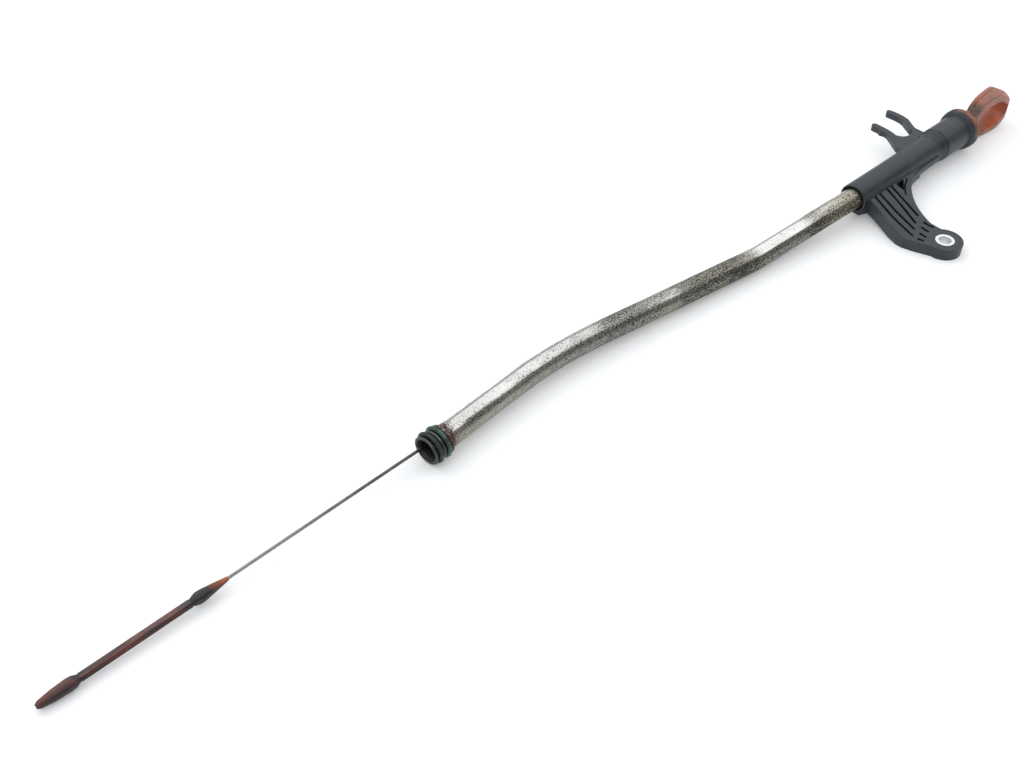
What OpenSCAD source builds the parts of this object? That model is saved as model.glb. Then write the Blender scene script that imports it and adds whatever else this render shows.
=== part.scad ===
// Engine oil dipstick in its guide tube, lying at rest. Millimetres.
// Origin: centre of the bracket's bolt hole on the surface the part lies on. X runs along the head, Z is up.

/* [Guide tube] */
// Outside diameter of the steel tube
tube_d = 12; // [10:0.5:14]
// Wall of the steel tube
tube_wall = 1; // [0.8:0.1:1.4]
// Straight length of tube held in the plastic head
tube_grip = 55; // [40:1:60]
// Straight length that shows between the head and the first bend
tube_neck = 2; // [1:1:6]
// Angle of the first bend, just outside the head
first_bend = 6.4; // [4:0.2:8]
// Straight run between the first and second bends
upper_run = 65.5; // [55:0.5:75]
// Angle of the second bend, where the tube comes down to the surface
second_bend = 5.8; // [4:0.2:7]
// Straight run between the second and third bends
middle_run = 98.5; // [85:0.5:110]
// Angle of the long third bend
third_bend = 11.4; // [9:0.2:13]
// Straight run from the third bend to the open end
lower_run = 58.5; // [50:0.5:70]

/* [Block end] */
// Crest diameter of the rolled beads and of the end lip
bead_d = 14.6; // [14:0.1:15.2]
// Width of the land on each bead crest
bead_land = 0.8; // [0.6:0.1:1.2]
// Width of the flared lip at the open end
lip_w = 1.8; // [1.4:0.1:2.4]
// Section diameter of the two O-rings
ring_cord = 2.1; // [1.9:0.05:2.3]

/* [Head] */
// Outside diameter of the head where it holds the tube
body_d = 16; // [15.2:0.2:18]
// Outside diameter of the neck under the flange
neck_d = 19.6; // [18.4:0.2:21]
// Outside diameter of the flange round the mouth
flange_d = 23.6; // [21.6:0.2:23.8]
// Length of the head from its lower end to the flange face
head_l = 103.5; // [100:0.5:110]
// Length of the neck and flange together
neck_l = 24.5; // [22:0.5:28]
// Length of the rounded flange
flange_l = 3; // [2.5:0.1:4]
// Inside diameter of the mouth that the handle's plug sits in
mouth_d = 16.2; // [15.4:0.1:17]
// Depth of the mouth
mouth_depth = 17; // [15:1:20]

/* [Bracket] */
// Distance from the bolt hole to the head's axis
arm_reach = 52; // [48:1:58]
// Distance along the head from its lower end to the bolt hole
arm_offset = 13; // [10:1:16]
// Thickness of the arm at the bolt eye
eye_t = 6.3; // [5:0.1:8]
// Outside diameter of the bolt eye
eye_d = 19.4; // [18:0.2:22]
// Radius of the arm's inner curve
arm_curve = 35.5; // [33:0.5:36]
// Width of the long pockets in the arm
pocket_w = 1.6; // [1.2:0.1:2]
// Thickness of the floor left under the pockets
pocket_floor = 1.5; // [1:0.1:2.5]

/* [Bolt bush] */
// Outside diameter of the metal bush in the eye
bush_d = 10.2; // [9:0.1:12]
// Bore of the bush
bush_bore = 6.6; // [6.2:0.1:7]

/* [Cable clip] */
// Width of each prong of the cable clip
prong_w = 3.7; // [3:0.1:4.4]
// Height of each prong of the cable clip
prong_t = 3.4; // [2.6:0.1:4.2]

/* [Handle] */
// Diameter of the handle's collar
collar_d = 24; // [23:0.2:25]
// Thickness of the handle's collar
collar_t = 3.5; // [3:0.1:4]
// Length of the plug in the head's mouth
plug_l = 14; // [12:0.5:15]
// Radial play of the plug in the mouth
plug_play = 0.4; // [0.3:0.05:0.6]
// Section diameter of the plug's O-ring
seal_cord = 2; // [1.6:0.1:2.4]
// Radial running clearance of the plug's O-ring
seal_play = 0.05; // [0.03:0.01:0.09]
// Diameter of the stem that holds the cable
stem_d = 5; // [4.4:0.1:6]
// Length of the stem below the plug
stem_l = 16; // [12:1:24]
// Height of the finger loop
loop_h = 22.8; // [21:0.2:23.6]
// Length of the finger loop from the collar to its tip
loop_l = 42.8; // [39:0.2:44]
// Length of the ring itself, without its root
ring_l = 34.2; // [31:0.2:35]
// Width of the loop's band at its tip
loop_w = 13.6; // [12:0.2:14]
// Width of the loop's band at the collar
loop_root_w = 6.6; // [6:0.2:9]
// Thickness of the loop's band with its rims
loop_t = 3.2; // [2.8:0.1:4]
// Height that the band's edge rims stand above it
loop_rim = 0.4; // [0.3:0.1:0.8]

/* [Cable] */
// Diameter of the steel cable
cable_d = 1.5; // [1.2:0.1:1.8]
// How far before the tube's third bend the cable starts to curve
cable_lead = 22; // [18:1:26]
// How much less than the tube the cable turns at the third bend
cable_ease = 3.6; // [3.4:0.1:3.8]
// Straight length of cable from its last curve to the gauge
cable_run = 165; // [160:1:170]

/* [Gauge] */
// Length of the moulded gauge
gauge_l = 84; // [76:0.5:90]
// Largest diameter of the gauge's two bulbs
bulb_d = 5.6; // [5:0.1:6.2]
// Width of the gauge's rod
gauge_rod_w = 3.6; // [3:0.1:4.2]
// Diameter of the gauge's blunt lower end
gauge_tip_d = 3.6; // [3:0.1:4.2]

/* [Hidden] */
$fn = 96;
e = 0.01;

// Bend radii and the turn of each bend's plane about the tube, in the order that the bender makes them
first_radius = 40;
first_turn = 43.5;
second_radius = 110;
second_turn = -69;
third_radius = 260;
third_turn = 173;
cable_radius = 500;
cable_turn = 164.5;

// How much the wall thins where it is bent, and how far a bend's section runs on into the straights
bend_thinning = 0.02;
bend_reach = 0.2;

// The head lies along X with the handle's collar on the surface
axis_z = collar_d / 2;
axis_y = arm_reach;
head_x = -arm_offset;
rim_x = head_x + head_l;
tube_top_x = head_x + tube_grip;
bore_d = tube_d - 2 * tube_wall;

tube_route = [[tube_grip + tube_neck, first_turn, first_radius, first_bend],
              [upper_run, second_turn, second_radius, second_bend],
              [middle_run, third_turn, third_radius, third_bend]];

// The cable follows the tube's first two bends, then lies a little straighter than the third
cable_top = rim_x - plug_l;
gauge_hold = 12;
cable_route = [[cable_top - tube_top_x + tube_grip + tube_neck, first_turn, first_radius, first_bend],
               [upper_run, second_turn, second_radius, second_bend],
               [middle_run - cable_lead, cable_turn, cable_radius, third_bend - cable_ease]];

// One straight run and one bend of a route: [length, turn, radius, angle]
module route_step(step) {
    translate([0, 0, step[0]])
        rotate(step[1])
            translate([step[2], 0, 0])
                rotate([0, step[3], 0])
                    translate([-step[2], 0, 0])
                        rotate(-step[1])
                            children();
}

// Sweeps a round section along a route; each bend is thinned a little and reaches into its straights
module sweep_route(route, outer_d, inner_d = 0, i = 0) {
    if (i < len(route)) {
        step = route[i];
        reach = bend_reach * 180 / (PI * step[2]);
        linear_extrude(step[0])
            annulus(outer_d, inner_d);
        translate([0, 0, step[0]])
            rotate(step[1])
                translate([step[2], 0, 0])
                    rotate([90, 0, 180])
                        rotate_extrude(angle = step[3] + 2 * reach, start = -reach, $fn = 360)
                            translate([step[2], 0])
                                annulus(outer_d - 2 * bend_thinning, inner_d + 2 * bend_thinning);
        route_step(step)
            sweep_route(route, outer_d, inner_d, i + 1);
    }
}

// Places its children at the end of a route, with Z along the way out
module at_route_end(route, i = 0) {
    if (i < len(route))
        route_step(route[i])
            at_route_end(route, i + 1)
                children();
    else
        children();
}

// Turns Z to point down the head, from a place on its axis
module down_head(x) {
    translate([x, axis_y, axis_z])
        rotate([0, -90, 0])
            rotate(90)
                children();
}

// Turns Z to point out of the head's mouth, from a place on its axis
module up_head(x) {
    translate([x, axis_y, axis_z])
        rotate([0, 90, 0])
            rotate(-90)
                children();
}

module annulus(outer_d, inner_d) {
    difference() {
        circle(d = outer_d);
        if (inner_d > 1)
            circle(d = inner_d);
    }
}

// Outline of an even stroke along a path in plan, with mitred corners and round ends
function unit(v) = v / norm(v);
function side(v) = [-v.y, v.x];
function mitre(path, i) =
    let (a = side(unit(path[i] - path[i - 1])), b = side(unit(path[i + 1] - path[i])))
    unit(a + b) / (unit(a + b) * a);
function cap(p, d, w) = [for (t = [-90 : 18 : 90]) p + w / 2 * (cos(t) * d - sin(t) * side(d))];

module strokes(path, w) {
    last = len(path) - 1;
    polygon(concat([for (i = [1 : 1 : last - 1]) path[i] + w / 2 * mitre(path, i)],
                   cap(path[last], unit(path[last] - path[last - 1]), w),
                   [for (i = [last - 1 : -1 : 1]) path[i] - w / 2 * mitre(path, i)],
                   cap(path[0], unit(path[0] - path[1]), w)));
}

// Block end of the tube: two rolled beads and an end lip, which hold two O-rings between them
ring_d = tube_d + 2 * ring_cord;
groove_w = ring_cord + 0.3;
bead_w = bead_land + 1.6;
lip_face = 1.5;
lip_at = lower_run;
front_ring_at = lip_at - lip_w - groove_w / 2;
middle_bead_at = front_ring_at - groove_w / 2 - bead_w / 2;
rear_ring_at = middle_bead_at - bead_w / 2 - groove_w / 2;
rear_bead_at = rear_ring_at - groove_w / 2 - bead_w / 2;

module bead(at) {
    translate([0, 0, at - bead_w / 2])
        rotate_extrude()
            polygon([[bore_d / 2, 0], [tube_d / 2, 0], [bead_d / 2, (bead_w - bead_land) / 2],
                     [bead_d / 2, (bead_w + bead_land) / 2], [tube_d / 2, bead_w], [bore_d / 2, bead_w]]);
}

module block_end() {
    linear_extrude(lip_at)
        annulus(tube_d, bore_d);
    bead(rear_bead_at);
    bead(middle_bead_at);
    translate([0, 0, lip_at - lip_w])
        rotate_extrude()
            polygon([[bore_d / 2 - e, 0], [tube_d / 2, 0], [bead_d / 2 - 0.3, lip_w / 2],
                     [bead_d / 2, lip_w / 2 + 0.4], [bead_d / 2, lip_w - 0.3], [bead_d / 2 - 0.3, lip_w],
                     [bead_d / 2 - lip_face, lip_w], [bore_d / 2 - e, lip_w]]);
}

// The wall opens outwards at the lip, so the bore flares with it
module lip_flare() {
    translate([0, 0, lip_at - lip_w])
        rotate_extrude()
            polygon([[0, -e], [bore_d / 2, -e], [bore_d / 2, 0], [bead_d / 2 - lip_face, lip_w],
                     [bead_d / 2 - lip_face, lip_w + e], [0, lip_w + e]]);
}

module guide_tube() {
    color("lightgray")
        down_head(tube_top_x)
            difference() {
                union() {
                    sweep_route(tube_route, tube_d, bore_d);
                    at_route_end(tube_route)
                        block_end();
                }
                at_route_end(tube_route)
                    lip_flare();
            }
}

module o_ring(at) {
    down_head(tube_top_x)
        at_route_end(tube_route)
            translate([0, 0, at])
                rotate_extrude()
                    translate([(ring_d - ring_cord) / 2, 0])
                        circle(d = ring_cord);
}

module rear_o_ring() {
    color("mediumseagreen")
        o_ring(rear_ring_at);
}

module front_o_ring() {
    color("seagreen")
        o_ring(front_ring_at);
}

// Head: revolved outside, with a step up to the neck and a rounded flange, along Z from the lower end
neck_at = head_l - neck_l;
flange_at = head_l - flange_l;
rim_round = 0.4;
step_w = 4;

module head_outside() {
    rotate_extrude()
        union() {
            polygon([[0, 0], [body_d / 2 - 0.6, 0], [body_d / 2, 0.6], [body_d / 2, neck_at - 2 * step_w],
                     [body_d / 2 + 0.8, neck_at - step_w], [neck_d / 2 - 0.5, neck_at - step_w + 0.5],
                     [neck_d / 2 - 0.5, neck_at - step_w + 1.7], [neck_d / 2 - 1, neck_at - step_w + 2.1],
                     [neck_d / 2 - 1, neck_at - 1], [neck_d / 2, neck_at], [neck_d / 2, head_l - 2],
                     [0, head_l - 2]]);
            polygon([[0, flange_at], [neck_d / 2, flange_at], [flange_d / 2 - 0.6, flange_at + 0.8],
                     [flange_d / 2, flange_at + 1.8], [flange_d / 2, head_l - rim_round],
                     [flange_d / 2 - rim_round, head_l], [0, head_l]]);
        }
}

// Inside: a flared lower end, the tube's socket, a guide bore, a funnel and the mouth
funnel_l = (mouth_d - bore_d) / 2;
module head_inside() {
    rotate_extrude()
        polygon([[0, -e], [tube_d / 2 + 1.2, -e], [tube_d / 2, 4], [tube_d / 2, tube_grip],
                 [bore_d / 2, tube_grip], [bore_d / 2, head_l - mouth_depth - funnel_l],
                 [mouth_d / 2, head_l - mouth_depth], [mouth_d / 2, head_l - 0.8],
                 [mouth_d / 2 + 0.8, head_l + e], [0, head_l + e]]);
}

// Arm in plan: a tapering web from the head to the eye, with one hollow curve on its inner side
arm_edge = [[-13, 46], [-8, 44], [-9, 39], [-11, 33], [-13.6, 26], [-15, 20], [-15, 16], [-13.4, 10], [-9.4, 0]];
curve_x = 42.5;
module arm_plan() {
    difference() {
        polygon(concat(arm_edge, [[7, 0], [7, arm_reach - body_d / 2 - arm_curve],
                                  [curve_x, arm_reach - body_d / 2], [curve_x, arm_reach], [-13, arm_reach]]));
        translate([curve_x, arm_reach - body_d / 2 - arm_curve])
            circle(r = arm_curve, $fn = 180);
    }
    circle(d = eye_d);
}

// Arm from the side: its top and bottom both rise from the eye to the head
arm_bottom_at_head = axis_z - body_d / 2;
arm_top_at_head = axis_z + 1.7;
module arm_side() {
    translate([-60, 0, 0])
        rotate([90, 0, 90])
            linear_extrude(140)
                polygon([[-eye_d, 0], [18, 0], [arm_reach - body_d / 2, arm_bottom_at_head],
                         [arm_reach, arm_bottom_at_head], [arm_reach, arm_top_at_head],
                         [arm_reach - 5, arm_top_at_head], [14, eye_t], [-eye_d, eye_t]]);
}

// Long pockets run from the head towards the eye, and go on past a cross rib as short ones
long_pockets = [[[-3.4, 43.8], [-7.5, 29.2], [-9.6, 14]],
                [[1, 43.8], [-2.4, 30.3], [-4.5, 16.7]],
                [[7.6, 43.8], [4.3, 31.8], [0, 19]],
                [[11.6, 43.8], [8.6, 32.1], [5.9, 21.7]]];
short_pockets = [[[-9.8, 10], [-9.1, 7.8]], [[-4.9, 12], [-5.3, 8.6]], [[0.1, 14.4], [-0.2, 10.6]],
                 [[4.6, 16], [5.1, 11]]];

module arm() {
    difference() {
        intersection() {
            linear_extrude(axis_z + body_d)
                arm_plan();
            arm_side();
        }
        translate([0, 0, arm_bottom_at_head + pocket_floor])
            linear_extrude(axis_z) {
                for (path = long_pockets)
                    strokes(path, pocket_w);
                polygon([[15.4, 43.6], [22.6, 43.6], [15, 37.4]]);
                strokes([[24.5, 42.4], [18.1, 39.4], [13.3, 35]], pocket_w / 2);
            }
        translate([0, 0, pocket_floor])
            linear_extrude(axis_z)
                for (path = short_pockets)
                    strokes(path, pocket_w);
    }
}

// The arm's edge runs on along the head towards the neck as a low side rib
module side_rib() {
    near = arm_reach - body_d / 2;
    translate([0, 0, axis_z - 3.2])
        linear_extrude(3.6)
            polygon([[26, near + 1], [27, near - 3.5], [31, near - 2.9], [36, near - 2], [44, near - 1.3], [58, near - 0.8], [58, near + 1]]);
}

// Cable clip: two prongs on the far side of the head, in the plane of its axis
module clip() {
    translate([0, axis_y, axis_z - prong_t / 2])
        linear_extrude(prong_t) {
            polygon([[43, 5], [46, 13], [50.6, 19.6], [53.4, 24], [56.4, 19], [57.6, 16.6], [60, 15], [63.5, 14.6],
                     [67, 16.4], [69.4, 19.4], [71, 20], [71, 5]]);
            strokes([[54.4, 20.6], [55.6, 24.6], [56.1, 29], [56.2, 34.6]], prong_w);
            strokes([[69.2, 17.4], [71.6, 21.5], [74.2, 25.4], [75.2, 29], [75.4, 33], [75.1, 37.6]], prong_w);
            polygon([[54, 26], [53.2, 29], [54.6, 31]]);
        }
}

module tube_head() {
    color("dimgray")
        difference() {
            union() {
                up_head(head_x)
                    head_outside();
                arm();
                side_rib();
                clip();
            }
            up_head(head_x)
                head_inside();
            translate([0, 0, -e])
                cylinder(d = bush_d, h = eye_t + 2 * e);
        }
}

module bracket_bush() {
    color("silver")
        difference() {
            cylinder(d = bush_d, h = eye_t);
            translate([0, 0, -e])
                cylinder(d = bush_bore, h = eye_t + 2 * e);
        }
}

// Handle along Z from the flange face outwards
loop_tip_at = collar_t + loop_l;
ring_mid_at = loop_tip_at - ring_l / 2;
loop_fullness = 2.65;
tip_dome = 10;
rim_w = 2.4;
seal_at = -plug_l / 2;
plug_d = mouth_d - 2 * plug_play;
seal_d = mouth_d - 2 * seal_play;

function signed_power(v, k) = sign(v) * pow(abs(v), k);

// A point of the finger loop's side outline, an oval with fuller corners than an ellipse
function oval_point(t, inset) =
    let (k = 2 / loop_fullness,
         away = [signed_power(sin(t), 2 - k) / loop_h, signed_power(cos(t), 2 - k) / ring_l])
    [loop_h / 2 * signed_power(sin(t), k), ring_mid_at + ring_l / 2 * signed_power(cos(t), k)]
        - inset * away / norm(away);

module loop_outline(inset) {
    polygon([for (t = [0 : 4 : 356]) oval_point(t, inset)]);
}

// Plan of the band: it widens from the collar towards a tip that is domed across its width
function dome(tip, sink) =
    [for (k = [-1 : 0.125 : 1]) [k * tip, loop_tip_at - sink - pow(k * tip, 2) / (2 * tip_dome)]];

module loop_plan() {
    root = loop_root_w / 2;
    polygon(concat([[root, collar_t], [root, 0], [-root, 0], [-root, collar_t]], dome(loop_w / 2, 0)));
}

// Plan of the shallow channel between the rims, and of its floor, which is domed like the tip
module channel_plan() {
    root = loop_root_w / 2 - rim_w;
    tip = loop_w / 2 - rim_w;
    polygon([[-root, collar_t], [-tip, loop_tip_at + 1], [tip, loop_tip_at + 1], [root, collar_t]]);
}

module channel_floor() {
    tip = loop_w / 2;
    polygon(concat([[tip, loop_tip_at + 2], [-tip, loop_tip_at + 2]], dome(tip, loop_rim)));
}

module across_side(w) {
    rotate([90, 0, 90])
        translate([0, 0, -w / 2])
            linear_extrude(w)
                children();
}

module across_plan(w) {
    rotate([90, 0, 0])
        translate([0, 0, -w / 2])
            linear_extrude(w)
                children();
}

// The loop is a band on a short root; its edges stand up as rims round the outside
module loop_band() {
    difference() {
        intersection() {
            across_side(2 * loop_w)
                difference() {
                    union() {
                        loop_outline(0);
                        polygon([[-loop_h / 4, 0], [loop_h / 4, 0], [loop_h / 4 - 1, collar_t + 3],
                                 [loop_h / 4 + 0.6, ring_mid_at - ring_l / 2 + 3.2],
                                 [-loop_h / 4 - 0.6, ring_mid_at - ring_l / 2 + 3.2],
                                 [1 - loop_h / 4, collar_t + 3]]);
                    }
                    loop_outline(loop_t);
                }
            across_plan(2 * loop_h)
                loop_plan();
        }
        intersection() {
            union() {
                across_side(2 * loop_w)
                    difference() {
                        translate([-loop_h, ring_mid_at - ring_l / 2 + 3.2])
                            square([2 * loop_h, loop_tip_at]);
                        loop_outline(loop_rim);
                    }
                across_plan(2 * loop_h)
                    channel_floor();
            }
            across_plan(2 * loop_h)
                channel_plan();
        }
    }
}

module handle() {
    color("orangered")
        up_head(rim_x)
            difference() {
                union() {
                    loop_band();
                    rotate_extrude()
                        polygon([[0, -plug_l - stem_l], [stem_d / 2 - 0.5, -plug_l - stem_l],
                                 [stem_d / 2, -plug_l - stem_l + 1], [stem_d / 2, -plug_l],
                                 [plug_d / 2 - 1, -plug_l], [plug_d / 2, -plug_l + 1],
                                 [plug_d / 2, seal_at - seal_cord / 2 - 0.1],
                                 [seal_d / 2 - seal_cord, seal_at - seal_cord / 2 - 0.1],
                                 [seal_d / 2 - seal_cord, seal_at + seal_cord / 2 + 0.1],
                                 [plug_d / 2, seal_at + seal_cord / 2 + 0.1], [plug_d / 2, 0],
                                 [collar_d / 2 - 0.8, 0], [collar_d / 2, 0.8], [collar_d / 2, collar_t - 1],
                                 [collar_d / 2 - 1, collar_t], [0, collar_t]]);
                }
                translate([0, 0, -plug_l - stem_l - e])
                    cylinder(d = cable_d, h = stem_l + e);
            }
}

module handle_seal() {
    color("black")
        up_head(rim_x)
            translate([0, 0, seal_at])
                rotate_extrude()
                    translate([(seal_d - seal_cord) / 2, 0])
                        circle(d = seal_cord);
}

module cable() {
    color("gray")
        down_head(cable_top) {
            sweep_route(cable_route, cable_d);
            at_route_end(cable_route)
                cylinder(d = cable_d, h = cable_run + gauge_hold);
        }
}

// Gauge along Z from its top: a cone and bulb, a grooved rod, and a second bulb that tapers to a blunt end
rod_from = 17.5;
rod_to = 66;
rod_t = gauge_rod_w * 0.8;
groove = 0.35;

module gauge_rod_section() {
    polygon([[-gauge_rod_w / 2, -rod_t / 4], [-gauge_rod_w / 2 + groove, 0], [-gauge_rod_w / 2, rod_t / 4],
             [-gauge_rod_w / 3, rod_t / 2], [gauge_rod_w / 3, rod_t / 2], [gauge_rod_w / 2, rod_t / 4],
             [gauge_rod_w / 2 - groove, 0], [gauge_rod_w / 2, -rod_t / 4], [gauge_rod_w / 3, -rod_t / 2],
             [-gauge_rod_w / 3, -rod_t / 2]]);
}

module gauge_tip() {
    color("sienna")
        down_head(cable_top)
            at_route_end(cable_route)
                translate([0, 0, cable_run])
                    difference() {
                        union() {
                            rotate_extrude()
                                polygon([[0, 0], [cable_d / 2 + 0.2, 0], [bulb_d / 2 - 0.2, 11],
                                         [bulb_d / 2, 13], [bulb_d / 2 - 0.1, 14.5],
                                         [gauge_rod_w / 2 - 0.2, rod_from], [0, rod_from]]);
                            translate([0, 0, rod_from - e])
                                linear_extrude(rod_to - rod_from + 2 * e)
                                    gauge_rod_section();
                            rotate_extrude()
                                polygon([[0, rod_to], [gauge_rod_w / 2 - 0.2, rod_to],
                                         [bulb_d / 2 - 0.2, rod_to + 2.5], [bulb_d / 2, rod_to + 4.5],
                                         [bulb_d / 2 - 0.3, gauge_l - 7], [gauge_tip_d / 2, gauge_l - 1.5],
                                         [gauge_tip_d / 2 - 0.8, gauge_l], [0, gauge_l]]);
                        }
                        translate([0, 0, -e])
                            cylinder(d = cable_d, h = gauge_hold + e);
                    }
}

guide_tube();
rear_o_ring();
front_o_ring();
tube_head();
bracket_bush();
handle();
handle_seal();
cable();
gauge_tip();
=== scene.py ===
from math import cos, pi, radians, sin

import bmesh
import bpy
from mathutils import Matrix, Vector


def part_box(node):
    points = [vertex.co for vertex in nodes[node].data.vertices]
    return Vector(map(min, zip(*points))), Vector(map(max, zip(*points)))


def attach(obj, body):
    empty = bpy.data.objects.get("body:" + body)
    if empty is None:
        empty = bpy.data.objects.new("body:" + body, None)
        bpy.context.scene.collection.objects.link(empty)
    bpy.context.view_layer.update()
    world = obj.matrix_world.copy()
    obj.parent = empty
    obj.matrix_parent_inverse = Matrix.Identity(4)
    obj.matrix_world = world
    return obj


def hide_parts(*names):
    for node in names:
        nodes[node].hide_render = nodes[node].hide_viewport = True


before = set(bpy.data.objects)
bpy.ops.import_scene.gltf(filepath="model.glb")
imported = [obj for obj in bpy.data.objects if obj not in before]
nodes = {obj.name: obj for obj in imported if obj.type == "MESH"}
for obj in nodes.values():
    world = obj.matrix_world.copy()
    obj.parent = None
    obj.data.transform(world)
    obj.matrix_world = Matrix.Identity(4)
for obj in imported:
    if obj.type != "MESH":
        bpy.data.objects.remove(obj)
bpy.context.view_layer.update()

# Studio: a pale sweep of floor under one broad panel of light that runs the length of the
# tube, with dimmer walls, and a camera held over the block end and looking towards the handle.
camera_data = bpy.data.cameras.new("camera")
camera_data.lens = 42.19
camera_data.sensor_width = 36.0
camera = bpy.data.objects.new("camera", camera_data)
camera.location = (-0.51703, -0.22476, 0.3960)
camera.rotation_euler = (radians(46.0), 0.0, radians(-42.3))
bpy.context.scene.collection.objects.link(camera)
bpy.context.scene.camera = camera
bpy.context.scene.view_settings.view_transform = "Standard"

floor_mesh = bpy.data.meshes.new("floor")
floor_mesh.from_pydata([(-6, -6, 0), (6, -6, 0), (6, 6, 0), (-6, 6, 0)], [], [(0, 1, 2, 3)])
floor = bpy.data.objects.new("floor", floor_mesh)
bpy.context.scene.collection.objects.link(floor)
floor_paint = bpy.data.materials.new("floor_paint")
floor_paint.use_nodes = True
floor_tree = floor_paint.node_tree
floor_shader = floor_tree.nodes["Principled BSDF"]
floor_shader.inputs["Base Color"].default_value = (0.9, 0.91, 0.92, 1.0)
floor_shader.inputs["Roughness"].default_value = 0.8
floor_shader.inputs["Specular IOR Level"].default_value = 0.1
seen = floor_tree.nodes.new("ShaderNodeLightPath")
ray = seen.outputs["Is Camera Ray"]
for other in ("Is Glossy Ray", "Is Transmission Ray"):
    either = floor_tree.nodes.new("ShaderNodeMath")
    either.operation = "MAXIMUM"
    floor_tree.links.new(ray, either.inputs[0])
    floor_tree.links.new(seen.outputs[other], either.inputs[1])
    ray = either.outputs[0]
lift = floor_tree.nodes.new("ShaderNodeMath")
lift.operation = "MULTIPLY"
lift.inputs[1].default_value = 0.2
floor_tree.links.new(ray, lift.inputs[0])
floor_tree.links.new(lift.outputs[0], floor_shader.inputs["Emission Strength"])
floor_shader.inputs["Emission Color"].default_value = (1.0, 1.0, 1.0, 1.0)
floor_mesh.materials.append(floor_paint)

world = bpy.data.worlds.new("sky")
bpy.context.scene.world = world
world.use_nodes = True
sky_tree = world.node_tree
sky = sky_tree.nodes["Background"]
direction = sky_tree.nodes.new("ShaderNodeTexCoord")
level = sky_tree.nodes.new("ShaderNodeVectorMath")
level.operation = "MULTIPLY"
level.inputs[1].default_value = (0.0, 1.0, 1.0)
across = sky_tree.nodes.new("ShaderNodeVectorMath")
across.operation = "NORMALIZE"
overhead = sky_tree.nodes.new("ShaderNodeVectorMath")
overhead.operation = "DOT_PRODUCT"
overhead.inputs[1].default_value = (0.0, 0.17, 0.985)
panel = sky_tree.nodes.new("ShaderNodeMapRange")
panel.interpolation_type = "SMOOTHSTEP"
panel.inputs["From Min"].default_value = 0.54
panel.inputs["From Max"].default_value = 0.66
sides = sky_tree.nodes.new("ShaderNodeSeparateXYZ")
walls = sky_tree.nodes.new("ShaderNodeMapRange")
walls.inputs["From Min"].default_value = -0.7
walls.inputs["From Max"].default_value = 0.7
walls.inputs["To Min"].default_value = 0.22
walls.inputs["To Max"].default_value = 0.42
room = sky_tree.nodes.new("ShaderNodeMix")
room.inputs["B"].default_value = 1.15
sky_tree.links.new(direction.outputs["Generated"], level.inputs[0])
sky_tree.links.new(level.outputs[0], across.inputs[0])
sky_tree.links.new(across.outputs[0], overhead.inputs[0])
sky_tree.links.new(overhead.outputs["Value"], panel.inputs["Value"])
sky_tree.links.new(across.outputs[0], sides.inputs[0])
sky_tree.links.new(sides.outputs["Y"], walls.inputs["Value"])
sky_tree.links.new(panel.outputs["Result"], room.inputs["Factor"])
sky_tree.links.new(walls.outputs["Result"], room.inputs["A"])
sky_tree.links.new(room.outputs["Result"], sky.inputs["Strength"])
sky.inputs["Color"].default_value = (0.97, 0.985, 1.0, 1.0)


def soft_light(name, place, target, size, watts):
    """A square soft light at a place, aimed at a target."""
    data = bpy.data.lights.new(name, "AREA")
    data.size = size
    data.energy = watts
    lamp = bpy.data.objects.new(name, data)
    lamp.location = place
    lamp.rotation_euler = (Vector(target) - Vector(place)).to_track_quat("-Z", "Y").to_euler()
    bpy.context.scene.collection.objects.link(lamp)


soft_light("far_light", (-0.35, 0.95, 1.05), (-0.15, 0.05, 0.0), 0.7, 2.2)

# Guide tube: zinc-plated steel, bent three times, with two rolled beads and a flared lip at the
# block end. The plate has broken down into black specks and dull patches, with rust at the beads,
# and painted shade makes the side that faces away from the lamps duller and darker.


def add(tree, kind, **settings):
    """A node in a material, with its settings."""
    node = tree.nodes.new(kind)
    for name, value in settings.items():
        setattr(node, name, value)
    return node


def finish(name, colour, roughness, metallic=0.0):
    """A material, and its tree and shader for the patterns that go into it."""
    material = bpy.data.materials.new(name)
    material.use_nodes = True
    shader = material.node_tree.nodes["Principled BSDF"]
    shader.inputs["Base Color"].default_value = (*colour, 1.0)
    shader.inputs["Roughness"].default_value = roughness
    shader.inputs["Metallic"].default_value = metallic
    return material, material.node_tree, shader


def place_on(tree, stretch=(1.0, 1.0, 1.0), shift=(0.0, 0.0, 0.0)):
    """Object coordinates, stretched along the piece."""
    where = add(tree, "ShaderNodeTexCoord")
    turn = add(tree, "ShaderNodeMapping")
    turn.inputs["Scale"].default_value = stretch
    turn.inputs["Location"].default_value = shift
    tree.links.new(where.outputs["Object"], turn.inputs["Vector"])
    return turn.outputs["Vector"]


def mottle(tree, scale, low, high, stretch=(1.0, 1.0, 1.0), detail=3.0, shift=(0.0, 0.0, 0.0)):
    """Noise cut to a range: 0 below low and 1 above high."""
    noise = add(tree, "ShaderNodeTexNoise")
    noise.inputs["Scale"].default_value = scale
    noise.inputs["Detail"].default_value = detail
    tree.links.new(place_on(tree, stretch, shift), noise.inputs["Vector"])
    return spread(tree, noise.outputs["Fac"], low, high)


def spread(tree, value, low, high, bottom=0.0, top=1.0):
    """A value mapped smoothly from one range to another."""
    node = add(tree, "ShaderNodeMapRange", interpolation_type="SMOOTHSTEP")
    node.inputs["From Min"].default_value = low
    node.inputs["From Max"].default_value = high
    node.inputs["To Min"].default_value = bottom
    node.inputs["To Max"].default_value = top
    tree.links.new(value, node.inputs["Value"])
    return node.outputs["Result"]


def work(tree, operation, first, second):
    """One sum on two values, each a socket or a number."""
    node = add(tree, "ShaderNodeMath", operation=operation)
    for socket, value in zip(node.inputs, (first, second)):
        if isinstance(value, (int, float)):
            socket.default_value = value
        else:
            tree.links.new(value, socket)
    return node.outputs[0]


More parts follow.
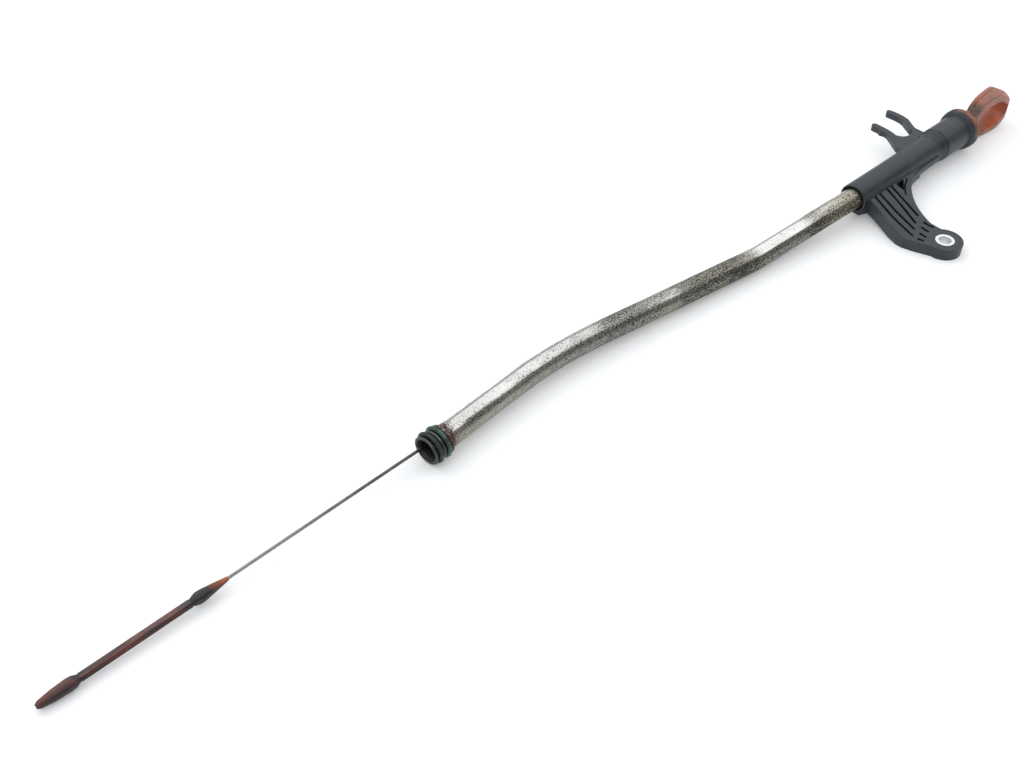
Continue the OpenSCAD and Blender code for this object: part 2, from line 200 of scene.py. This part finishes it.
def blend_colour(tree, amount, first, second):
    """A mix of two colours, each a socket or three numbers."""
    node = add(tree, "ShaderNodeMix", data_type="RGBA")
    tree.links.new(amount, node.inputs["Factor"])
    for socket, value in ((node.inputs["A"], first), (node.inputs["B"], second)):
        if isinstance(value, tuple):
            socket.default_value = (*value, 1.0)
        else:
            tree.links.new(value, socket)
    return node.outputs["Result"]


def along(tree, axis, stops):
    """A value that follows a list of (place in metres, level) along one axis of the part."""
    where = add(tree, "ShaderNodeTexCoord")
    apart = add(tree, "ShaderNodeSeparateXYZ")
    tree.links.new(where.outputs["Object"], apart.inputs[0])
    low, high = stops[0][0], stops[-1][0]
    scaled = add(tree, "ShaderNodeMapRange")
    scaled.inputs["From Min"].default_value = low
    scaled.inputs["From Max"].default_value = high
    tree.links.new(apart.outputs[axis], scaled.inputs["Value"])
    ramp = add(tree, "ShaderNodeValToRGB")
    ramp.color_ramp.interpolation = "EASE"
    while len(ramp.color_ramp.elements) < len(stops):
        ramp.color_ramp.elements.new(0.5)
    for element, (place, level) in zip(ramp.color_ramp.elements, stops):
        element.position = (place - low) / (high - low)
        element.color = (level, level, level, 1.0)
    tree.links.new(scaled.outputs["Result"], ramp.inputs[0])
    return ramp.outputs["Color"]


def facing_part(tree, way, low, high):
    """How far the surface faces one way, cut to a range."""
    side = add(tree, "ShaderNodeTexCoord")
    turned = add(tree, "ShaderNodeVectorMath", operation="DOT_PRODUCT")
    turned.inputs[1].default_value = way
    tree.links.new(side.outputs["Normal"], turned.inputs[0])
    return spread(tree, turned.outputs["Value"], low, high)


def relief(tree, shader, height_value, depth, edge=0.0):
    """Bump of a real depth in metres, over edges that are rounded by a small radius."""
    bump = add(tree, "ShaderNodeBump")
    bump.inputs["Strength"].default_value = 1.0
    bump.inputs["Distance"].default_value = depth
    tree.links.new(height_value, bump.inputs["Height"])
    if edge:
        rounded = add(tree, "ShaderNodeBevel", samples=8)
        rounded.inputs["Radius"].default_value = edge
        tree.links.new(rounded.outputs["Normal"], bump.inputs["Normal"])
    tree.links.new(bump.outputs["Normal"], shader.inputs["Normal"])


head_end = Vector((0.042, 0.052, 0.012))
first_bends = [(0.057, 43.5, 0.040, 6.4), (0.0655, -69.0, 0.110, 5.8)]


def route(start, steps, last, pace):
    """Frames along a bent line: straight runs and bends (length, turn, radius, angle), then a last run."""
    here = Matrix.Translation(start) @ Matrix.Rotation(-pi / 2, 4, "Y") @ Matrix.Rotation(pi / 2, 4, "Z")
    frames = []
    for length, turn, radius, angle in steps:
        count = max(1, round(length / pace))
        frames += [here @ Matrix.Translation((0, 0, length * k / count)) for k in range(count)]
        here = here @ Matrix.Translation((0, 0, length)) @ Matrix.Rotation(radians(turn), 4, "Z")
        here = here @ Matrix.Translation((radius, 0, 0))
        count = max(4, round(radius * radians(angle) / pace))
        back = Matrix.Translation((-radius, 0, 0)) @ Matrix.Rotation(radians(-turn), 4, "Z")
        frames += [here @ Matrix.Rotation(radians(angle * k / count), 4, "Y") @ back for k in range(count)]
        here = here @ Matrix.Rotation(radians(angle), 4, "Y") @ back
    count = max(1, round(last / pace))
    frames += [here @ Matrix.Translation((0, 0, last * k / count)) for k in range(count + 1)]
    return frames, here


def grown(name, points, tree, levels=None, sharp=50.0, **inputs):
    """The plain mesh that a tree makes on a path of points, each with its own level of the named values."""
    mesh = bpy.data.meshes.new(name + "_path")
    mesh.from_pydata([tuple(p) for p in points], [(k, k + 1) for k in range(len(points) - 1)], [])
    for level, values in (levels or {}).items():
        mesh.attributes.new(level, "FLOAT", "POINT").data.foreach_set("value", values)
    seed = bpy.data.objects.new(name + "_path", mesh)
    bpy.context.scene.collection.objects.link(seed)
    maker = seed.modifiers.new("maker", "NODES")
    maker.node_group = tree
    for item in tree.interface.items_tree:
        if item.in_out == "INPUT" and item.name in inputs:
            maker[item.identifier] = inputs[item.name]
    ready = seed.evaluated_get(bpy.context.evaluated_depsgraph_get())
    result = bpy.data.meshes.new_from_object(ready)
    result.name = name
    seed.modifiers.clear()
    bpy.data.objects.remove(seed)
    result.shade_smooth()
    result.set_sharp_from_angle(angle=radians(sharp))
    piece = bpy.data.objects.new(name, result)
    bpy.context.scene.collection.objects.link(piece)
    return piece


def drawn_tube():
    """A tree that sweeps a skin and a bore along a path, to the path's own radii, and joins them at both ends."""
    tree = bpy.data.node_groups.new("drawn_tube", "GeometryNodeTree")
    face = tree.interface
    face.new_socket("Path", in_out="INPUT", socket_type="NodeSocketGeometry")
    face.new_socket("Sides", in_out="INPUT", socket_type="NodeSocketInt").default_value = 56
    face.new_socket("Finish", in_out="INPUT", socket_type="NodeSocketMaterial")
    face.new_socket("Bore Finish", in_out="INPUT", socket_type="NodeSocketMaterial")
    face.new_socket("Tube", in_out="OUTPUT", socket_type="NodeSocketGeometry")
    given = add(tree, "NodeGroupInput")
    made = add(tree, "NodeGroupOutput")
    line = add(tree, "GeometryNodeMeshToCurve")
    tree.links.new(given.outputs["Path"], line.inputs["Mesh"])
    outline = add(tree, "GeometryNodeCurvePrimitiveCircle")
    outline.inputs["Radius"].default_value = 1.0
    tree.links.new(given.outputs["Sides"], outline.inputs["Resolution"])
    both = add(tree, "GeometryNodeJoinGeometry")
    for level, coat in (("skin_radius", "Finish"), ("bore_radius", "Bore Finish")):
        reach = add(tree, "GeometryNodeInputNamedAttribute", data_type="FLOAT")
        reach.inputs["Name"].default_value = level
        sweep = add(tree, "GeometryNodeCurveToMesh")
        tree.links.new(line.outputs["Curve"], sweep.inputs["Curve"])
        tree.links.new(outline.outputs["Curve"], sweep.inputs["Profile Curve"])
        tree.links.new(reach.outputs["Attribute"], sweep.inputs["Scale"])
        wall = sweep.outputs["Mesh"]
        if level == "bore_radius":
            turned = add(tree, "GeometryNodeFlipFaces")
            tree.links.new(wall, turned.inputs["Mesh"])
            marked = add(tree, "GeometryNodeStoreNamedAttribute", data_type="BOOLEAN", domain="FACE")
            marked.inputs["Name"].default_value = "in_bore"
            marked.inputs["Value"].default_value = True
            tree.links.new(turned.outputs["Mesh"], marked.inputs["Geometry"])
            wall = marked.outputs["Geometry"]
        coated = add(tree, "GeometryNodeSetMaterial")
        tree.links.new(wall, coated.inputs["Geometry"])
        tree.links.new(given.outputs[coat], coated.inputs["Material"])
        tree.links.new(coated.outputs["Geometry"], both.inputs["Geometry"])
    welded = add(tree, "GeometryNodeMergeByDistance")
    welded.inputs["Distance"].default_value = 1e-6
    tree.links.new(both.outputs["Geometry"], welded.inputs["Geometry"])
    solid = add(tree, "GeometryNodeRealizeInstances")
    tree.links.new(welded.outputs["Geometry"], solid.inputs["Geometry"])
    inner = add(tree, "GeometryNodeInputNamedAttribute", data_type="BOOLEAN")
    inner.inputs["Name"].default_value = "in_bore"
    lined = add(tree, "GeometryNodeSetMaterial")
    tree.links.new(solid.outputs["Geometry"], lined.inputs["Geometry"])
    tree.links.new(inner.outputs["Attribute"], lined.inputs["Selection"])
    tree.links.new(given.outputs["Bore Finish"], lined.inputs["Material"])
    tree.links.new(lined.outputs["Geometry"], made.inputs["Tube"])
    return tree


tube_steps = first_bends + [(0.0985, 173.0, 0.260, 11.4)]
tube_radius = 0.006
bore_radius = 0.005
bead_radius = 0.0073
shank = 0.0471
tube_frames, last_bend = route(head_end, tube_steps, shank, 0.003)
stations = [(tube_frames[0].translation, 0.0055, 0.0055),
            (tube_frames[0] @ Vector((0, 0, 0.0003)), tube_radius, bore_radius)]
stations += [(f.translation, tube_radius, bore_radius) for f in tube_frames[1:-1]]
bead_shape = [(-1.0, 0.0), (-0.88, 0.12), (-0.72, 0.5), (-0.52, 0.86), (-0.3, 0.98), (0.0, 1.0),
              (0.3, 0.98), (0.52, 0.86), (0.72, 0.5), (0.88, 0.12), (1.0, 0.0)]
for bead_at in (0.0483, 0.0531):
    stations += [(last_bend @ Vector((0, 0, bead_at + x * 0.0012)), tube_radius + h * (bead_radius - tube_radius),
                  bore_radius) for x, h in bead_shape]
lip_shape = [(0.0567, 0.0060, 0.0050), (0.05685, 0.00625, 0.00508), (0.0572, 0.0068, 0.00525),
             (0.0576, 0.00715, 0.00545), (0.0579, 0.0073, 0.0056), (0.0582, 0.00728, 0.00575),
             (0.0584, 0.00712, 0.00592), (0.05848, 0.0069, 0.0061), (0.0585, 0.0065, 0.0065)]
stations += [(last_bend @ Vector((0, 0, at)), skin, bore) for at, skin, bore in lip_shape]

zinc, tree, shader = finish("corroded_zinc", (0.6, 0.59, 0.55), 0.35, 1.0)
zone = along(tree, "X", [(-0.305, 0.5), (-0.29, 0.35), (-0.286, 0.12), (-0.262, 0.12), (-0.225, 0.26), (-0.2, 0.5),
                         (-0.176, 0.82), (-0.159, 0.5), (-0.148, 0.55), (-0.14, 0.92), (-0.105, 1.0),
                         (-0.094, 0.62), (-0.084, 0.1), (-0.058, 0.12), (-0.047, 0.62), (0.0, 0.64)])
patches = mottle(tree, 110.0, 0.3, 0.7, stretch=(0.4, 1.0, 1.0), detail=4.0)
# Painted shade: the side that faces away from the lamps, down and towards the near side, is made duller, darker and
# more pitted.
lower = facing_part(tree, (0.0, 0.795, 0.607), 0.05, -0.12)
stain = work(tree, "MULTIPLY", along(tree, "X", [(-0.31, 0.0), (-0.285, 0.0), (-0.279, 1.0), (-0.272, 0.8), (-0.25, 0.15),
                                                 (0.0, 0.0)]),
             work(tree, "MULTIPLY", facing_part(tree, (0.0, 0.795, 0.607), 0.22, 0.0),
                  facing_part(tree, (0.0, 0.795, 0.607), -0.5, -0.25)))
decay_and_shade = work(tree, "ADD", work(tree, "MULTIPLY", zone, 0.68), work(tree, "MULTIPLY", patches, 0.26))
shade_weight = along(tree, "X", [(-0.31, 0.13), (-0.12, 0.13), (-0.085, 0.6), (-0.05, 0.6), (-0.035, 0.2), (0.0, 0.2)])
decay_and_shade = work(tree, "ADD", decay_and_shade, work(tree, "MULTIPLY", lower, shade_weight))
decay_and_shade = work(tree, "ADD", decay_and_shade, work(tree, "MULTIPLY", stain, 0.5))
fine = add(tree, "ShaderNodeTexNoise")
fine.inputs["Scale"].default_value = 1900.0
fine.inputs["Detail"].default_value = 1.5
tree.links.new(place_on(tree, (0.75, 1.0, 1.0)), fine.inputs["Vector"])
pits = spread(tree, work(tree, "ADD", fine.outputs["Fac"], work(tree, "MULTIPLY", decay_and_shade, 0.27)), 0.69, 0.755)
dull_and_shade = spread(tree, work(tree, "ADD", decay_and_shade, work(tree, "MULTIPLY", lower, 0.5)), 0.08, 0.85)
warm = along(tree, "X", [(-0.31, 0.3), (-0.2, 0.1), (-0.1, 0.35), (-0.06, 0.2), (-0.03, 1.0), (0.0, 1.0)])
tarnish = blend_colour(tree, warm, (0.31, 0.305, 0.275), (0.4, 0.37, 0.28))
colour = blend_colour(tree, dull_and_shade, (0.87, 0.865, 0.84), tarnish)
colour = blend_colour(tree, pits, colour, (0.05, 0.047, 0.038))
oily = along(tree, "X", [(-0.31, 1.0), (-0.2985, 1.0), (-0.2955, 0.75), (-0.2915, 0.4), (-0.289, 0.0), (0.0, 0.0)])
colour = blend_colour(tree, work(tree, "MULTIPLY", oily, 0.94), colour, (0.06, 0.066, 0.072))
rust_band = along(tree, "X", [(-0.31, 0.0), (-0.2985, 0.0), (-0.2965, 0.4), (-0.2925, 0.7), (-0.2912, 0.85), (-0.2895, 0.3),
                              (-0.285, 0.12), (-0.278, 0.0), (0.0, 0.0)])
rust = spread(tree, work(tree, "ADD", mottle(tree, 1300.0, 0.2, 0.8, shift=(0.3, 0.1, 0.0)), rust_band), 0.82, 1.2)
colour = blend_colour(tree, rust, colour, (0.09, 0.045, 0.036))
tree.links.new(colour, shader.inputs["Base Color"])
worn = work(tree, "MAXIMUM", pits, rust)
tree.links.new(work(tree, "ADD", work(tree, "MULTIPLY", worn, 0.3), spread(tree, dull_and_shade, 0.0, 1.0, 0.17, 0.4)),
               shader.inputs["Roughness"])
tree.links.new(spread(tree, worn, 0.0, 1.0, 1.0, 0.5), shader.inputs["Metallic"])
relief(tree, shader, work(tree, "SUBTRACT", 1.0, worn), 0.00003)
# The bore's near-black colour is an oil film and painted shade inside the tube.
bore_oil_and_shade, tree, shader = finish("bore_oil_and_painted_shade", (0.012, 0.012, 0.014), 0.5)
varnish = mottle(tree, 500.0, 0.3, 0.7)
tree.links.new(blend_colour(tree, varnish, (0.008, 0.009, 0.012), (0.022, 0.02, 0.021)), shader.inputs["Base Color"])
relief(tree, shader, varnish, 0.00002)
tube = grown("tube_steel", [place for place, skin, bore in stations], drawn_tube(),
             levels={"skin_radius": [skin for place, skin, bore in stations],
                     "bore_radius": [bore for place, skin, bore in stations]},
             **{"Finish": zinc, "Bore Finish": bore_oil_and_shade})
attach(tube, "guide")
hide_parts("guide_tube")

# O-rings at the block end: green fluoro rubber, pushed over the lip into the grooves. The front
# one has been wiped with black oil and is nearly dark.


def repaint(name, material):
    mesh = nodes[name].data
    mesh.materials.clear()
    mesh.materials.append(material)


for ring_name, clean, grime, share in (("rear_o_ring", (0.04, 0.115, 0.075), (0.026, 0.036, 0.031), 0.6),
                                       ("front_o_ring", (0.03, 0.085, 0.065), (0.016, 0.026, 0.024), 0.8)):
    rubber, tree, shader = finish(ring_name + "_rubber", clean, 0.3)
    dirt = mottle(tree, 420.0, 0.75 - share * 0.6, 0.95 - share * 0.5, detail=4.0)
    tree.links.new(blend_colour(tree, dirt, clean, grime), shader.inputs["Base Color"])
    tree.links.new(spread(tree, dirt, 0.0, 1.0, 0.32, 0.6), shader.inputs["Roughness"])
    relief(tree, shader, mottle(tree, 2200.0, 0.2, 0.8), 0.00002)
    repaint(ring_name, rubber)

# Head: one moulding in glass-filled black plastic, clipped over the tube, with its bracket arm
# and cable clip. The skin is satin with a slight blue cast and a film of dust, and the arm's
# pockets are darkened with painted shade.


def corners(tree, reach, low, high):
    """Painted shade mask: 1 deep in pockets and inside corners, and 0 on open faces."""
    shelter = add(tree, "ShaderNodeAmbientOcclusion", samples=8, only_local=True)
    shelter.inputs["Distance"].default_value = reach
    return work(tree, "SUBTRACT", 1.0, spread(tree, shelter.outputs["AO"], low, high))


plastic, tree, shader = finish("black_plastic", (0.05, 0.058, 0.066), 0.42)
dust = mottle(tree, 90.0, 0.35, 0.75, detail=5.0)
grain = mottle(tree, 1800.0, 0.2, 0.8, detail=3.0)
colour = blend_colour(tree, dust, (0.019, 0.026, 0.034), (0.039, 0.048, 0.057))
# Painted shade: the arm's slots and pockets are darkened where the surface is occluded.
slots = along(tree, "Y", [(-0.01, 1.0), (0.032, 1.0), (0.036, 0.1), (0.1, 0.1)])
pocket_shade = work(tree, "MULTIPLY", corners(tree, 0.004, 0.25, 0.75), slots)
colour = blend_colour(tree, pocket_shade, colour, (0.012, 0.015, 0.018))
tree.links.new(colour, shader.inputs["Base Color"])
tree.links.new(spread(tree, work(tree, "ADD", work(tree, "MULTIPLY", dust, 0.6), work(tree, "MULTIPLY", grain, 0.4)),
                      0.0, 1.0, 0.34, 0.56), shader.inputs["Roughness"])
relief(tree, shader, grain, 0.00003, edge=0.0005)
repaint("tube_head", plastic)

# Bolt bush: a turned steel limiter, moulded into the eye, with a bright plated face.
bright, tree, shader = finish("bright_plate", (0.78, 0.78, 0.77), 0.22, 1.0)
turned = mottle(tree, 1500.0, 0.2, 0.8, stretch=(1.0, 1.0, 0.1))
tree.links.new(blend_colour(tree, turned, (0.93, 0.93, 0.92), (0.75, 0.75, 0.74)), shader.inputs["Base Color"])
relief(tree, shader, turned, 0.00001, edge=0.0004)
repaint("bracket_bush", bright)

# Handle: one moulding in orange plastic that lets a little light through, with grey grime on the
# outside of the loop and a darker root, and a cleaner inside that darkens towards the root with grime
# and painted shade. Painted shade also lies in the near corners, in the groove beside the near rim and
# round the collar, and a painted highlight runs along the near rim's crest.
orange, tree, shader = finish("orange_plastic", (0.5, 0.17, 0.09), 0.38)
grime = mottle(tree, 130.0, 0.35, 0.7, detail=5.0, shift=(0.1, 0.4, 0.2))
film = mottle(tree, 700.0, 0.3, 0.75, detail=3.0)
where = add(tree, "ShaderNodeTexCoord")
from_middle = add(tree, "ShaderNodeVectorMath", operation="SUBTRACT")
from_middle.inputs[1].default_value = (0.1192, 0.052, 0.012)
tree.links.new(where.outputs["Object"], from_middle.inputs[0])
outward = add(tree, "ShaderNodeVectorMath", operation="DOT_PRODUCT")
tree.links.new(from_middle.outputs[0], outward.inputs[0])
tree.links.new(where.outputs["Normal"], outward.inputs[1])
outer = spread(tree, outward.outputs["Value"], -0.002, 0.004)
grime_and_shade = work(tree, "ADD", work(tree, "MULTIPLY", grime, 0.5), work(tree, "MULTIPLY", film, 0.25))
grime_and_shade = work(tree, "ADD", grime_and_shade, work(tree, "MULTIPLY", outer, 0.25))
# Inside the loop, darker towards the root: grime and painted shade.
palm_grime_and_shade = along(tree, "X", [(0.09, 0.45), (0.108, 0.45), (0.119, 0.1), (0.125, 0.0), (0.14, 0.0)])
grime_and_shade = work(tree, "ADD", grime_and_shade, work(tree, "MULTIPLY", work(tree, "SUBTRACT", 1.0, outer), palm_grime_and_shade))
skin = blend_colour(tree, outer, (0.62, 0.125, 0.03), (0.5, 0.14, 0.065))
colour = blend_colour(tree, grime_and_shade, skin, (0.21, 0.125, 0.1))
place = add(tree, "ShaderNodeSeparateXYZ")
tree.links.new(where.outputs["Object"], place.inputs[0])
# Painted shade: a dark line in the groove beside the near rim of the loop.
edge_line = work(tree, "ADD", work(tree, "MULTIPLY", work(tree, "SUBTRACT", place.outputs["X"], 0.094), 0.0864), 0.0033 - 0.052)
from_edge = work(tree, "ADD", place.outputs["Y"], edge_line)
groove_shade = work(tree, "MULTIPLY", spread(tree, from_edge, 0.0008, 0.0013), spread(tree, from_edge, 0.0027, 0.0016))
groove_shade = work(tree, "MULTIPLY", groove_shade, work(tree, "MULTIPLY", outer, along(tree, "X", [(0.09, 1.0), (0.117, 0.9), (0.129, 0.0), (0.14, 0.0)])))
root = along(tree, "X", [(0.06, 0.3), (0.0935, 0.4), (0.0945, 1.0), (0.1055, 0.95), (0.1105, 0.3), (0.116, 0.0), (0.14, 0.0)])
black = work(tree, "MULTIPLY", work(tree, "MULTIPLY", root, outer), spread(tree, work(tree, "ADD", grime, film), -0.1, 0.8))
# Painted shade: the collar ring is dark all round except on its upper near side.
about = add(tree, "ShaderNodeVectorMath", operation="DOT_PRODUCT")
about.inputs[1].default_value = (0.0, -0.574, 0.819)
tree.links.new(from_middle.outputs[0], about.inputs[0])
collar_lit_side = spread(tree, about.outputs["Value"], 0.0055, 0.008)
black = work(tree, "MAXIMUM", work(tree, "MULTIPLY", black, 0.85),
             work(tree, "MULTIPLY", along(tree, "X", [(0.06, 0.0), (0.0902, 0.0), (0.0905, 1.0), (0.0937, 1.0), (0.0943, 0.0), (0.14, 0.0)]),
                  work(tree, "SUBTRACT", 1.0, collar_lit_side)))
# Painted shade in the inside corners on the loop's near side.
near_side = along(tree, "Y", [(0.03, 0.6), (0.05, 0.6), (0.0535, 0.1), (0.07, 0.1)])
black = work(tree, "MAXIMUM", black, work(tree, "MULTIPLY", corners(tree, 0.003, 0.35, 0.8), near_side))
black = work(tree, "MAXIMUM", black, work(tree, "MULTIPLY", groove_shade, 0.7))
# Dark at the root, and painted shade in the near corners, the rim groove and round the collar.
colour = blend_colour(tree, black, colour, (0.035, 0.034, 0.03))
# Painted highlight: a lighter line along the crest of the loop's near rim.
crest_highlight = along(tree, "X", [(0.06, 0.0), (0.0945, 0.0), (0.0955, 0.35), (0.14, 0.35)])
crest_highlight = work(tree, "MULTIPLY", crest_highlight, work(tree, "MULTIPLY", outer, spread(tree, from_edge, 0.0009, 0.0005)))
colour = blend_colour(tree, crest_highlight, colour, (0.55, 0.29, 0.23))
tree.links.new(colour, shader.inputs["Base Color"])
tree.links.new(spread(tree, grime_and_shade, 0.0, 1.0, 0.3, 0.6), shader.inputs["Roughness"])
shader.inputs["Subsurface Weight"].default_value = 0.35
shader.inputs["Subsurface Radius"].default_value = (0.004, 0.0013, 0.0006)
shader.inputs["Subsurface Scale"].default_value = 1.0
relief(tree, shader, film, 0.00003, edge=0.0006)
loop_middle = Vector((0.1197, 0.052, 0.012))
loop_reach, loop_rise, loop_half_width = 0.0171, 0.0114, 0.0068
loop_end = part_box("handle")[1][0]
fullness = 2.65
shape = bmesh.new()
shape.from_mesh(nodes["handle"].data)
bmesh.ops.remove_doubles(shape, verts=shape.verts, dist=2e-6)
for step in range(-6, 7):
    band = [f for f in shape.faces if min(v.co.x for v in f.verts) > 0.0985]
    edges = {e for f in band for e in f.edges}
    corners_of = {v for f in band for v in f.verts}
    bmesh.ops.bisect_plane(shape, geom=band + list(edges) + list(corners_of), dist=1e-7,
                           plane_co=(0.0, loop_middle.y + 0.001 * step, 0.0), plane_no=(0.0, 1.0, 0.0))
for point in shape.verts:
    x = (point.co.x - loop_middle.x) / loop_reach
    z = (point.co.z - loop_middle.z) / loop_rise
    level = abs(x) ** fullness + abs(z) ** fullness
    if x <= 0.0:
        continue
    away = Vector((x ** (fullness - 1) / loop_reach, 0.0, abs(z) ** (fullness - 1) / loop_rise * (1 if z > 0 else -1)))
    away.normalize()
    side = (point.co.y - loop_middle.y) / loop_half_width
    shoulder = (2 * away.x * abs(away.z)) ** 1.3
    skin_share = min(1.0, max(0.0, (level - 0.7) / 0.1))
    sunk = min(1.0, max(0.0, (1.0 - level) / 0.05))
    crown = 0.0012 * (1.0 - side ** 2) + 0.0003 * sunk
    ease = 0.0019 * min(0.0, side) ** 2 - 0.0006 * max(0.0, side) ** 2
    point.co += away * shoulder * (crown * skin_share - ease)
    point.co.x = min(point.co.x, loop_end)
bmesh.ops.triangulate(shape, faces=shape.faces)
bmesh.ops.recalc_face_normals(shape, faces=shape.faces)
moulding = bpy.data.meshes.new("pull_handle")
shape.to_mesh(moulding)
shape.free()
moulding.shade_smooth()
moulding.set_sharp_from_angle(angle=radians(38))
moulding.materials.append(orange)
pull = bpy.data.objects.new("pull_handle", moulding)
bpy.context.scene.collection.objects.link(pull)
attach(pull, "dipstick")
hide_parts("handle")

# Handle O-ring: black rubber in the plug's groove, hidden in the mouth until the handle is pulled.
seal, tree, shader = finish("seal_rubber", (0.02, 0.02, 0.02), 0.4)
relief(tree, shader, mottle(tree, 2200.0, 0.2, 0.8), 0.00002)
repaint("handle_seal", seal)

# Cable: six steel strands laid round a core, 1.5 mm over all, crimped into the handle's stem.
# It follows the tube's first bends, then springs a little straighter and comes out at the lip.
cable_start = Vector((0.0765, 0.052, 0.012))
cable_steps = [(0.0915, 43.5, 0.040, 6.4), first_bends[1], (0.0765, 164.5, 0.500, 7.8)]
cable_frames, cable_bend = route(cable_start, cable_steps, 0.177, 0.0009)


def laid_cable():
    """A tree that sweeps the outline of six laid strands along a path and twists it about the path."""
    tree = bpy.data.node_groups.new("laid_cable", "GeometryNodeTree")
    face = tree.interface
    face.new_socket("Path", in_out="INPUT", socket_type="NodeSocketGeometry")
    for name, value in (("Radius", 0.00075), ("Lay", 0.014), ("Groove", 0.2), ("Strands", 6.0)):
        face.new_socket(name, in_out="INPUT", socket_type="NodeSocketFloat").default_value = value
    face.new_socket("Finish", in_out="INPUT", socket_type="NodeSocketMaterial")
    face.new_socket("Cable", in_out="OUTPUT", socket_type="NodeSocketGeometry")
    given = tree.nodes.new("NodeGroupInput")
    made = tree.nodes.new("NodeGroupOutput")

    def sum_of(operation, first, second=None):
        node = tree.nodes.new("ShaderNodeMath")
        node.operation = operation
        for socket, value in zip(node.inputs, (first, second)):
            if isinstance(value, (int, float)):
                socket.default_value = value
            elif value is not None:
                tree.links.new(value, socket)
        return node.outputs[0]

    outline = tree.nodes.new("GeometryNodeCurvePrimitiveCircle")
    outline.inputs["Resolution"].default_value = 36
    tree.links.new(given.outputs["Radius"], outline.inputs["Radius"])
    place = tree.nodes.new("GeometryNodeInputPosition")
    apart = tree.nodes.new("ShaderNodeSeparateXYZ")
    tree.links.new(place.outputs[0], apart.inputs[0])
    angle = sum_of("ARCTAN2", apart.outputs["Y"], apart.outputs["X"])
    wave = sum_of("ABSOLUTE", sum_of("SINE", sum_of("MULTIPLY", angle, sum_of("MULTIPLY", given.outputs["Strands"], 0.5))))
    dent = sum_of("POWER", sum_of("SUBTRACT", 1.0, wave), 2.0)
    size = sum_of("SUBTRACT", 1.0, sum_of("MULTIPLY", dent, given.outputs["Groove"]))
    lobes = tree.nodes.new("ShaderNodeVectorMath")
    lobes.operation = "SCALE"
    tree.links.new(place.outputs[0], lobes.inputs[0])
    tree.links.new(size, lobes.inputs["Scale"])
    shaped = tree.nodes.new("GeometryNodeSetPosition")
    tree.links.new(outline.outputs["Curve"], shaped.inputs["Geometry"])
    tree.links.new(lobes.outputs[0], shaped.inputs["Position"])

    line = tree.nodes.new("GeometryNodeMeshToCurve")
    tree.links.new(given.outputs["Path"], line.inputs["Mesh"])
    distance = tree.nodes.new("GeometryNodeSplineParameter")
    turns = sum_of("DIVIDE", distance.outputs["Length"], given.outputs["Lay"])
    tilt = tree.nodes.new("GeometryNodeSetCurveTilt")
    tree.links.new(line.outputs["Curve"], tilt.inputs["Curve"])
    tree.links.new(sum_of("MULTIPLY", turns, 2 * pi), tilt.inputs["Tilt"])
    sweep = tree.nodes.new("GeometryNodeCurveToMesh")
    sweep.inputs["Fill Caps"].default_value = True
    tree.links.new(tilt.outputs["Curve"], sweep.inputs["Curve"])
    tree.links.new(shaped.outputs["Geometry"], sweep.inputs["Profile Curve"])
    solid = tree.nodes.new("GeometryNodeRealizeInstances")
    tree.links.new(sweep.outputs["Mesh"], solid.inputs["Geometry"])
    coat = tree.nodes.new("GeometryNodeSetMaterial")
    tree.links.new(solid.outputs["Geometry"], coat.inputs["Geometry"])
    tree.links.new(given.outputs["Finish"], coat.inputs["Material"])
    tree.links.new(coat.outputs["Geometry"], made.inputs["Cable"])
    return tree


steel, tree, shader = finish("oiled_steel", (0.3, 0.29, 0.26), 0.3, 1.0)
oil = along(tree, "X", [(-0.42, 0.1), (-0.38, 0.15), (-0.35, 0.55), (-0.33, 0.9), (-0.3, 0.75), (0.08, 0.8)])
oil = work(tree, "ADD", work(tree, "MULTIPLY", oil, 0.8), work(tree, "MULTIPLY", mottle(tree, 160.0, 0.3, 0.7), 0.2))
tree.links.new(blend_colour(tree, oil, (0.4, 0.4, 0.37), (0.1, 0.085, 0.072)), shader.inputs["Base Color"])
relief(tree, shader, mottle(tree, 2500.0, 0.2, 0.8), 0.00001)
cable = grown("steel_cable", [f.translation for f in cable_frames], laid_cable(), Finish=steel)
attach(cable, "dipstick")
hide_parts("cable")

# Gauge: one moulding over the cable's end, once orange, now stained brown by oil. A clean cone,
# a bulb under a dark film, a grooved rod, and a second bulb that ends blunt.
stained, tree, shader = finish("oil_stained_plastic", (0.2, 0.1, 0.075), 0.3)
oily = along(tree, "X", [(-0.49, 0.42), (-0.482, 0.5), (-0.474, 0.6), (-0.471, 0.85), (-0.4665, 0.45), (-0.45, 0.4),
                         (-0.43, 0.5), (-0.423, 0.75), (-0.4195, 1.0), (-0.4145, 0.9), (-0.411, 0.35), (-0.405, 0.0)])
streak = mottle(tree, 420.0, 0.3, 0.7, stretch=(0.16, 1.0, 1.0), detail=4.0)
colour = blend_colour(tree, spread(tree, oily, 0.0, 0.45), (0.42, 0.12, 0.04), (0.15, 0.047, 0.035))
oily = work(tree, "ADD", oily, work(tree, "MULTIPLY", streak, 0.6))
colour = blend_colour(tree, spread(tree, oily, 0.55, 1.15), colour, (0.03, 0.028, 0.03))
# Painted shade: the underside of the gauge is darkened towards black.
under = facing_part(tree, (0.0, 0.35, 0.94), 0.3, -0.2)
colour = blend_colour(tree, work(tree, "MULTIPLY", under, 0.85), colour, (0.02, 0.017, 0.018))
tree.links.new(colour, shader.inputs["Base Color"])
tree.links.new(spread(tree, streak, 0.0, 1.0, 0.2, 0.42), shader.inputs["Roughness"])
shader.inputs["Specular IOR Level"].default_value = 0.4
relief(tree, shader, streak, 0.00006, edge=0.0004)
repaint("gauge_tip", stained)
